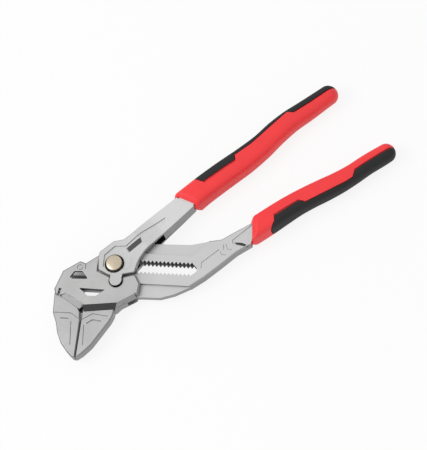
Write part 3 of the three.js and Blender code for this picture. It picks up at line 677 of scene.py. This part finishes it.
# %% Button profile
BUTTON_SKIN = 0.00002
BUTTON_RIM = 0.0008
BUTTON_DOME = 0.001
BUTTON_ROUND = 0.00025
STEM_RADIUS = 0.0012
STEM_GROOVE = 0.0006
STEM_FOOT = 0.0005
CLIP_SPACE = 0.0011
DOME_STEPS = 22
RIM_STEPS = 6

low, high = (np.array(corner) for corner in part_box("push_button"))
bottom, top = low[2] - BOLT[2], high[2] - BOLT[2] - BUTTON_SKIN
head = (high[0] - low[0]) / 2 - BUTTON_SKIN
dome_foot = high[2] - BOLT[2] - BUTTON_DOME
under_head = dome_foot - BUTTON_RIM
groove_top = bottom + STEM_FOOT + CLIP_SPACE


def arc(middle, size, angles):
    """Points of a profile on an ellipse: the middle plus size times (cos, sin) of the angles."""
    return np.stack([np.cos(angles), np.sin(angles)], axis=-1) * size + middle


rim_middle = (head - BUTTON_ROUND, under_head + BUTTON_ROUND)
stem = [
    [STEM_RADIUS, bottom],
    [STEM_RADIUS, bottom + STEM_FOOT],
    [STEM_GROOVE, bottom + STEM_FOOT],
    [STEM_GROOVE, groove_top],
    [STEM_RADIUS, groove_top],
    [STEM_RADIUS, under_head],
]
rim = arc(rim_middle, (BUTTON_ROUND, BUTTON_ROUND), np.linspace(-np.pi / 2, 0, RIM_STEPS))
dome = arc((0, dome_foot), (head, top - dome_foot), np.linspace(0, np.pi / 2, DOME_STEPS)[:-1])
profile = np.concatenate([stem, rim, dome])

# %% Push button
STEPS_AROUND = 96

angle = np.linspace(0, 2 * np.pi, STEPS_AROUND, endpoint=False)
radius, height = profile[:, :1], profile[:, 1:]
rings = in_tool(radius * np.cos(angle), radius * np.sin(angle), height)
button = loft("button_domed", rings, in_tool(0, 0, bottom), in_tool(0, 0, top), button_plating)
belongs(button, "button_body", "button_metal", "push_button")

# %% [markdown]
# ## The form of the grips
# Each grip is a hard red sleeve moulded over a steel tang, with a soft black inlay let into its
# outer side. Such a shape is often sculpted or subdivided from a cage, which gives no say over
# the zigzag seam. Here both colours follow one form worked out from a few rows: a rounded section
# whose centre, half-width and half-thickness change along the grip, with a slanted front and a
# round end. The rings are cut at the seam's own angle, so the zigzag stays crisp.

# %% Sizes of the upper grip
# A row of row_shares holds the share of the length, the centre and the half-width as shares of
# the width, the half-thickness as a share of the thickness, and the power of the section. A row
# of seam_shares holds the share of the length and the seam's height as a share of the width.
upper_grip = {
    "body": "lever_body",
    "start": (0.0419, 0.049),
    "angle": math.radians(43),
    "outer": 1,
    "length": 0.126,
    "width": 0.0184,
    "tang_half": 0.0047,
    "tang_share": -0.048,
    "slant_share": 0.5,
    "nose_share": 0.12,
    "row_shares": [
        [-0.1, -0.024, 0.476, 0.5, 4],
        [0, -0.018, 0.476, 0.5, 4],
        [0.12, 0.01, 0.473, 0.5, 4],
        [0.25, 0.003, 0.474, 0.49, 3.8],
        [0.4, -0.019, 0.46, 0.47, 3.5],
        [0.5, 0.013, 0.439, 0.45, 3.2],
        [0.6, 0.106, 0.424, 0.44, 3.1],
        [0.7, 0.145, 0.4, 0.43, 3],
        [0.8, 0.108, 0.385, 0.42, 2.8],
        [0.9, 0.083, 0.361, 0.42, 2.6],
        [1, 0.06, 0.34, 0.4, 2.6],
    ],
    "seam_shares": [
        [0.09, 1], [0.107, 0.36], [0.136, 0.04], [0.334, -0.01], [0.352, 0.23], [0.453, 0.205],
        [0.712, 0.39], [0.742, 0.19], [0.85, 0.12], [0.96, 0.085], [1.1, 0.085],
    ],
}

# %% Sizes of the lower grip
lower_grip = {
    "body": "fixed_handle_body",
    "start": (0.0901, 0.0314),
    "angle": math.radians(38),
    "outer": -1,
    "length": 0.108,
    "width": 0.0172,
    "tang_half": 0.0037,
    "tang_share": 0.1,
    "slant_share": 0.6,
    "nose_share": 0.16,
    "row_shares": [
        [-0.13, 0.017, 0.444, 0.5, 4],
        [0.08, 0.018, 0.444, 0.5, 4],
        [0.2, 0.001, 0.443, 0.48, 3.6],
        [0.3, 0.004, 0.432, 0.46, 3.3],
        [0.4, 0.052, 0.432, 0.44, 3.1],
        [0.5, 0.127, 0.427, 0.43, 3.1],
        [0.6, 0.191, 0.403, 0.43, 2.9],
        [0.7, 0.21, 0.378, 0.42, 2.8],
        [0.8, 0.187, 0.373, 0.42, 2.6],
        [0.9, 0.203, 0.37, 0.41, 2.6],
        [1, 0.217, 0.34, 0.4, 2.6],
    ],
    "seam_shares": [
        [0.06, 1], [0.085, 0.47], [0.13, 0.29], [0.152, 0.05], [0.326, 0.065], [0.356, 0.28],
        [0.522, 0.385], [0.627, 0.45], [0.683, 0.45], [0.722, 0.22], [0.907, 0.205],
        [0.96, 0.22], [1.1, 0.22],
    ],
}
grips = {"upper": upper_grip, "lower": lower_grip}

# %% Smooth rows
def smooth_rows(rows, shares):
    """Values between rows, as cubics whose slope at a row is the slope through its neighbours:
    value = a (1 + 2t)(1 - t)^2 + b t^2 (3 - 2t) + step (slope_a t (1 - t)^2 - slope_b t^2 (1 - t)),
    with t from 0 at row a to 1 at row b."""
    knots, values = np.array(rows)[:, 0], np.array(rows)[:, 1:]
    slopes = np.gradient(values, knots, axis=0)
    i = np.clip(np.searchsorted(knots, shares, side="right") - 1, 0, len(knots) - 2)
    step = (knots[i + 1] - knots[i])[:, None]
    t = (shares - knots[i])[:, None] / step
    ends = values[i] * (1 + 2 * t) * (1 - t) ** 2 + values[i + 1] * t**2 * (3 - 2 * t)
    return ends + step * (slopes[i] * t * (1 - t) ** 2 - slopes[i + 1] * t**2 * (1 - t))


def bent(value, power):
    """A power that keeps the sign: sign(value) |value|^power."""
    return np.sign(value) * np.abs(value) ** power


print("Between 0 and 1, a smooth row passes", smooth_rows([[0, 0], [1, 1]], np.array([0.5]))[0])

# %% Section and seam
GRIP_THICKNESS = 0.0164
GRIP_SKIN = 0.00012


def round_share(grip):
    """The share of the length that the round end takes: the last half-width over the length."""
    return grip["row_shares"][-1][2] * grip["width"] / grip["length"]


def grip_form(grip, shares):
    """The form at shares of the grip's length: centre, half-width, half-thickness and power 2/n of
    the section, in one array, and the seam's angle. Past the last straight stretch the section is
    drawn in as a quarter ellipse, sqrt(1 - tip^2). The seam angle is the one at which the
    section's edge, |cos|^(2/n), reaches the seam's own height."""
    rows = smooth_rows(grip["row_shares"], shares)
    centre = rows[:, 0] * grip["width"]
    half = rows[:, 1] * grip["width"] - GRIP_SKIN
    thick = rows[:, 2] * GRIP_THICKNESS - GRIP_SKIN
    power = 2 / rows[:, 3]
    straight = 1 - round_share(grip)
    tip = np.clip((shares - straight) / round_share(grip), 0, 1)
    draw = np.sqrt(np.clip(1 - tip**2, 0, 1))
    seam = np.array(grip["seam_shares"])
    height = np.interp(np.minimum(shares, straight), seam[:, 0], seam[:, 1]) * grip["width"]
    level = np.clip((height - centre) / half, -1, 1)
    angle = np.arccos(bent(level, 1 / power))
    angle[shares < seam[0, 0]] = 0
    return np.stack([centre, half * draw, thick * draw, power], axis=-1)[..., None], angle


middle_form = grip_form(upper_grip, np.array([0.5]))[0]

# %% Points on a grip
FRONT_SHARE = 0.1
NOSE_POWER = 1.5


def ahead(grip, y, z):
    """How far the front stands ahead at a point: the slant times its height, and a nose that
    stands out most in the middle of the thickness, nose (1 - 2 |z / half|^1.5)."""
    nose = grip["nose_share"] * grip["width"]
    return grip["slant_share"] * y + nose * (1 - 2 * np.abs(2 * z / GRIP_THICKNESS) ** NOSE_POWER)


def turned_in(grip, x, y, z):
    """Points x along a grip, y out and z up, turned by its angle and moved to its start."""
    c, s = math.cos(grip["angle"]), math.sin(grip["angle"])
    u = grip["start"][0] + x * c - grip["outer"] * y * s
    v = grip["start"][1] + x * s + grip["outer"] * y * c
    return in_tool(u, v, z)


def on_grip(grip, shares, angles, form, sink=0.0):
    """Points on the grip's section at some angles, sunk below its skin: y is the centre plus the
    half-width times |cos|^(2/n), and z the half-thickness times |sin|^(2/n). What stands ahead at
    the front fades out behind it."""
    centre, half, thick, power = form.transpose(1, 0, 2)
    y = centre + (half - sink) * bent(np.cos(angles), power)
    z = (thick - sink) * bent(np.sin(angles), power)
    fade = np.clip(1 - shares / FRONT_SHARE, 0, 1)[:, None]
    x = shares[:, None] * (grip["length"] - GRIP_SKIN) - ahead(grip, y, z) * fade
    return turned_in(grip, x, y, z)


print("The slanted front fades over", FRONT_SHARE, "of a grip")

# %% Rings along a grip
STRAIGHT_RINGS = 110
END_RINGS = 26
LAST_RING = 0.97
CORNER_OFFSET = 0.0012
STEEP_STEP = 0.15
STEEP_RINGS = 14
SHARE_DIGITS = 5


def stations(grip):
    """Shares along the grip: even steps, finer ones on the round end by the sine of even angles,
    one on either side of each corner of the seam, and more where the seam is steep."""
    straight = 1 - round_share(grip)
    body = np.linspace(0, straight, STRAIGHT_RINGS)
    end = straight + round_share(grip) * np.sin(np.linspace(0, LAST_RING, END_RINGS) * np.pi / 2)
    corners = np.array([share for share, _ in grip["seam_shares"] if share < 1])
    near = np.concatenate([corners + offset for offset in (-CORNER_OFFSET, 0, CORNER_OFFSET)])
    steep = np.abs(np.diff(np.array(grip["seam_shares"])[:, 1])) > STEEP_STEP
    slopes = [
        np.linspace(start, stop, STEEP_RINGS)
        for start, stop, fine in zip(corners[:-1], corners[1:], steep) if fine
    ]
    return np.unique(np.concatenate([body, end, near, *slopes]).round(SHARE_DIGITS))


print("The form has", len(stations(upper_grip)), "rings on the upper grip")

# %% [markdown]
# ## The two colours of a grip
# On the real tool the rubber is shot into a shallow bed in the red plastic, and both lips are
# slightly rounded, which shows as a fine dark line. A texture could paint that line, but not
# round it. So the sleeve keeps the full form and drops to a shelf under the inlay, and the inlay
# fills that shelf with a hair's gap all round. The sleeve's first rings are the hole that its
# steel tang fills.

# %% Rounded lips
LIP_ROUND = 0.0004
LIP_SHARES = np.array([0, 0.1, 0.3, 0.6, 1])
LIP_ROOM_SHARE = 0.8


def quarter_round(distance, size):
    """How far a rounded edge lies below the skin at a distance from it, a quarter circle:
    size (1 - sqrt(1 - (1 - distance / size)^2))."""
    inside = np.clip(1 - distance / size, 0, 1)
    return size * (1 - np.sqrt(1 - inside**2))


def spread(start, end, size, count):
    """Angles from start to end, even in the middle, with a few close to either end for the
    rounded lip."""
    close = LIP_SHARES * LIP_ROUND / size
    room = (end - start) / 2
    close = np.minimum(close, room * np.linspace(0, LIP_ROOM_SHARE, len(LIP_SHARES)))
    middle = np.linspace(start + close[:, -1:], end - close[:, -1:], count)[..., 0].T
    return np.concatenate([start + close[:, :-1], middle, end - close[:, -2::-1]], axis=1)


# %% Sleeve
SHELF_DEPTH = 0.0012
SHELF_COLUMNS = 26
SLEEVE_COLUMNS = 84
NARROWEST = 0.02
SEAM_HAIR = 0.004
DEEPEST_SLEEVE_SHARE = 0.8
FRONT_ROUND = 0.0014


def sleeve_rings(grip):
    """The red form's rings: a shelf of even depth under the inlay, and the full skin elsewhere,
    rounded over at the seam and at the front. The first ring's angles come with them."""
    shares = stations(grip)
    form, seam = grip_form(grip, shares)
    seam = np.maximum(seam, NARROWEST)[:, None]
    size = np.maximum(form[:, 1], LIP_ROUND)
    shelf = (seam - SEAM_HAIR) * np.linspace(-1, 1, SHELF_COLUMNS)
    skin = spread(seam, 2 * np.pi - seam, size, SLEEVE_COLUMNS)
    opened = np.clip((seam - NARROWEST) / NARROWEST, 0, 1)
    depth = SHELF_DEPTH * opened * np.ones_like(shelf)
    away = np.minimum(skin - seam, 2 * np.pi - seam - skin) * size
    angles = np.concatenate([shelf, skin], axis=1)
    sink = np.concatenate([depth, quarter_round(away, LIP_ROUND) * opened], axis=1)
    sink = np.minimum(sink, DEEPEST_SLEEVE_SHARE * form[:, 1])
    sink = sink + quarter_round(shares * grip["length"], FRONT_ROUND)[:, None]
    return on_grip(grip, shares, angles, form, sink), angles[:1]


# %% Hole for the tang
TANG_WIDTH = 0.0102
TANG_GAP = 0.00015
HOLE_DEPTH = 0.009
HOLE_POWER = 0.25


def hole_rings(grip, angles):
    """The hole that the tang fills, from its end to the grip's front: rounded oblongs, with y and
    z the half sizes times |cos|^0.25 and |sin|^0.25."""
    shift = grip["tang_share"] * grip["width"]
    y = shift + (TANG_WIDTH / 2 + TANG_GAP) * bent(np.cos(angles), HOLE_POWER)
    z = (grip["tang_half"] + TANG_GAP) * bent(np.sin(angles), HOLE_POWER)
    depth = np.array([[HOLE_DEPTH], [0.0]])
    return turned_in(grip, depth - ahead(grip, y, z), y, z)


# %% Inlay
SEAM_GAP = 0.00045
INLAY_COLUMNS = 40
INNER_SHARE = 0.99
DEEPEST_INLAY_SHARE = 0.7
SMALLEST_ANGLE = 4 * NARROWEST
SMALLEST_HALF = 3 * SEAM_GAP


def inlay_rings(grip):
    """The inlay's rings: out along the skin between the seam's two sides, and back along the
    shelf, kept a hair's gap away from the sleeve all round. They start and end where the seam or
    the grip gets too narrow for them."""
    shares = stations(grip)
    form, seam = grip_form(grip, shares)
    filled = (seam > SMALLEST_ANGLE) & (form[:, 1, 0] > SMALLEST_HALF)
    shares, form, seam = shares[filled], form[filled], seam[filled]
    size = np.maximum(form[:, 1], LIP_ROUND)
    seam = np.maximum(seam[:, None] - SEAM_GAP / size, NARROWEST)
    outside = spread(-seam, seam, size, INLAY_COLUMNS)
    drop = quarter_round(np.minimum(seam + outside, seam - outside) * size, LIP_ROUND)
    inside = seam * np.linspace(INNER_SHARE, -INNER_SHARE, INLAY_COLUMNS)
    depth = (SHELF_DEPTH - SEAM_GAP) * np.ones_like(inside)
    angles = np.concatenate([outside, inside], axis=1)
    sink = np.minimum(np.concatenate([drop, depth], axis=1), DEEPEST_INLAY_SHARE * form[:, 1])
    return on_grip(grip, shares, angles, form, sink)


# %% Both grips
for name, grip in grips.items():
    rings, angles = sleeve_rings(grip)
    rings = np.concatenate([hole_rings(grip, angles), rings])
    end = on_grip(grip, np.ones(1), np.zeros((1, 1)), grip_form(grip, np.ones(1))[0])[0, 0]
    sleeve = loft(f"{name}_sleeve_smooth", rings, rings[0].mean(axis=0), end, red_plastic)
    belongs(sleeve, grip["body"], "red_grip", f"{name}_grip_sleeve")
    rings = inlay_rings(grip)
    poles = rings[0].mean(axis=0), rings[-1].mean(axis=0)
    inlay = loft(f"{name}_inlay_smooth", rings, *poles, black_rubber)
    belongs(inlay, grip["body"], "black_grip", f"{name}_grip_inlay")

# %% [markdown]
# ## The name plate
# The lever has a small sunken plate, whose floor is a plain, dark, etched panel. It could be a
# dark place in the lever's finish, but then it would have no edge to catch the light. So a thin
# plate lies in it: rings of a rounded oblong between the plate's four corners, shrinking towards
# the middle, with a low crown.

# %% Name plate
SHANK = 0.05
PLATE_SHARES = np.array([[0.129, 0.224], [0.175, 0.17], [0.336, 0.336], [0.303, 0.405]])
PLATE_FLOOR = 0.00642
PLATE_RISE = 0.00022
PLATE_MARGIN = 0.93
PLATE_ROUNDNESS = 7
PLATE_STEPS = 72
RING_SIZE_SHARES = np.array([0.5, 0.97, 1, 1, 0.96, 0.85, 0.6, 0.3])
RING_RISE_SHARES = np.array([0, 0, 0.1, 0.6, 0.92, 1, 1, 1])


def between(corners, s, t, axis):
    """A coordinate between four corners a, b, c, d:
    (1 - s)(1 - t) a + (1 - s) t b + s t c + s (1 - t) d."""
    a, b, c, d = corners[:, axis]
    return (1 - s) * (1 - t) * a + (1 - s) * t * b + s * t * c + s * (1 - t) * d


angle = np.linspace(0, 2 * np.pi, PLATE_STEPS, endpoint=False)
outline = bent(np.stack([np.cos(angle), np.sin(angle)]), 2 / PLATE_ROUNDNESS)
ring_size = RING_SIZE_SHARES[:, None] * PLATE_MARGIN
s, t = 0.5 + outline[:, None, :] * ring_size / 2
corners = PLATE_SHARES * SHANK
u, v = (between(corners, s, t, axis) for axis in (0, 1))
rings = in_tool(u, v, PLATE_FLOOR + RING_RISE_SHARES[:, None] * PLATE_RISE)
middle = corners.mean(axis=0)
floor_middle, crown_middle = in_tool(*middle, PLATE_FLOOR), in_tool(*middle, PLATE_FLOOR + PLATE_RISE)
plate = loft("name_plate_bare", rings, floor_middle, crown_middle, etched_steel)
belongs(plate, "lever_body", "dark_steel")

# %% [markdown]
# ## Table and light
# The photograph was taken on white, with soft light from the upper left. A white plane alone
# would turn grey away from the lamp. So the table glows: seen by the camera or in a reflection,
# most of its white is light of its own, and the rest still takes a faint shadow. The sky is plain
# white when seen, and lights the tool a little less, so that a colour shows about as it is
# written. A big square lamp gives the light from the upper left.

# %% Seen or lighting
def seen_share(tree, *rays):
    """1 for a ray of one of the given kinds, and 0 for a ray that only carries light: the
    largest of the ray path's outputs."""
    path = add(tree, "ShaderNodeLightPath").outputs
    share = path[rays[0]]
    for ray in rays[1:]:
        share = worked(tree, "MAXIMUM", share, path[ray])
    return share


print("Helper for the kinds of rays is ready")

# %% Table
TABLE_HALF = 3.0
TABLE_PAINT = 0.9
TABLE_GLOW = 0.85

table_material = bpy.data.materials.new("white_table")
table_material.use_nodes = True
tree = table_material.node_tree
tree.nodes.remove(tree.nodes["Principled BSDF"])
paint = add(tree, "ShaderNodeBsdfDiffuse", {"Color": grey(TABLE_PAINT)})
glow = add(tree, "ShaderNodeEmission", {"Color": grey(1.0), "Strength": 1.0})
seen = seen_share(tree, "Is Camera Ray", "Is Glossy Ray")
share = ranged(tree, seen, 0.0, 1.0, 0.0, TABLE_GLOW)
sockets = {0: share, 1: paint.outputs["BSDF"], 2: glow.outputs["Emission"]}
both = add(tree, "ShaderNodeMixShader", sockets)
tree.links.new(both.outputs["Shader"], tree.nodes["Material Output"].inputs["Surface"])

mesh = bpy.data.meshes.new("table")
corners = np.array([[-1, -1], [1, -1], [1, 1], [-1, 1]]) * TABLE_HALF
mesh.from_pydata([(x, y, 0.0) for x, y in corners], [], [(0, 1, 2, 3)])
mesh.materials.append(table_material)
table = bpy.data.objects.new("table", mesh)
bpy.context.scene.collection.objects.link(table)
print("Table of", 2 * TABLE_HALF, "m")

# %% Sky
SKY_LIGHT = 0.72

world = bpy.data.worlds.new("white_sky")
world.use_nodes = True
tree = world.node_tree
sky = tree.nodes["Background"]
seen = seen_share(tree, "Is Camera Ray", "Is Glossy Ray", "Is Transmission Ray")
tree.links.new(ranged(tree, seen, 0.0, 1.0, SKY_LIGHT, 1.0), sky.inputs["Strength"])
sky.inputs["Color"].default_value = grey(1.0)
bpy.context.scene.world = world
print("Sky of", SKY_LIGHT)

# %% Lamp
LAMP_PLACE = Vector((-1.0, 0.5, 1.2))
LAMP_SIZE = 0.9
LAMP_POWER = 11.0

lamp_data = bpy.data.lights.new("soft_lamp", "AREA")
lamp_data.shape = "SQUARE"
lamp_data.size = LAMP_SIZE
lamp_data.energy = LAMP_POWER
lamp = bpy.data.objects.new("soft_lamp", lamp_data)
lamp.location = LAMP_PLACE
lamp.rotation_mode = "QUATERNION"
lamp.rotation_quaternion = (-LAMP_PLACE).to_track_quat("-Z", "Y")
bpy.context.scene.collection.objects.link(lamp)
print("Lamp of", LAMP_POWER, "W")
